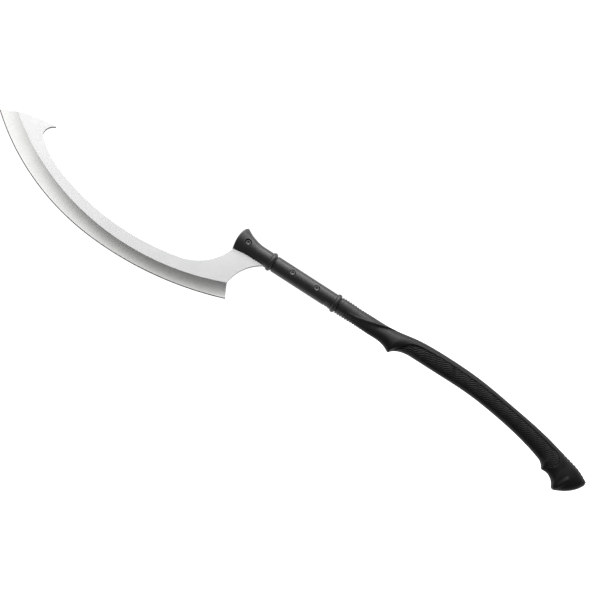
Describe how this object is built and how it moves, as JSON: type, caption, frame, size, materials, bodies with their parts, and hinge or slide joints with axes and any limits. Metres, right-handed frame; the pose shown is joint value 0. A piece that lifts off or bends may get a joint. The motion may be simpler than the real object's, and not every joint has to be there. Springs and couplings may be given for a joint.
{
  "type": "long-handled hand scythe",
  "caption": "Crescent blade with a convex hollow-ground edge and a rear spur, bolted by its tang into a black moulded handle with a flared head, finger guard, ridged grips and hooked pommel.",
  "frame": {"origin": "on the shaft's axis at the middle of the hand's place on the grip, in the blade's plane", "axes": "+Z along the straight shaft towards the blade, -X towards the cutting edge, +X towards the handle's back, Y across the blade's thickness"},
  "size_m": [0.1552, 0.0328, 1.1068],
  "materials": {
    "blade_steel": "satin-blasted flats with a finely ground hollow bevel",
    "handle_nylon": "semi-matt moulded glass-filled nylon",
    "grip_rubber": "matt moulded rubber with fine ridges",
    "black_screw": "black oxide steel, slightly polished on the rims",
    "plain_steel": "plain zinc-plated steel"
  },
  "bodies": {
    "root": {"blade": "blade_steel", "handle_left": "handle_nylon", "handle_right": "handle_nylon", "grip_pad_left": "grip_rubber", "grip_pad_right": "grip_rubber", "screw_top": "black_screw", "sleeve_nut_top": "black_screw", "screw_middle": "black_screw", "sleeve_nut_middle": "black_screw", "screw_lower": "black_screw", "sleeve_nut_lower": "black_screw", "grip_screw_upper": "plain_steel", "grip_screw_middle": "plain_steel", "grip_screw_lower": "plain_steel", "dowel_neck": "plain_steel", "dowel_upper_grip": "plain_steel", "dowel_lower_grip": "plain_steel", "dowel_pommel": "plain_steel"}
  },
  "joints": []
}
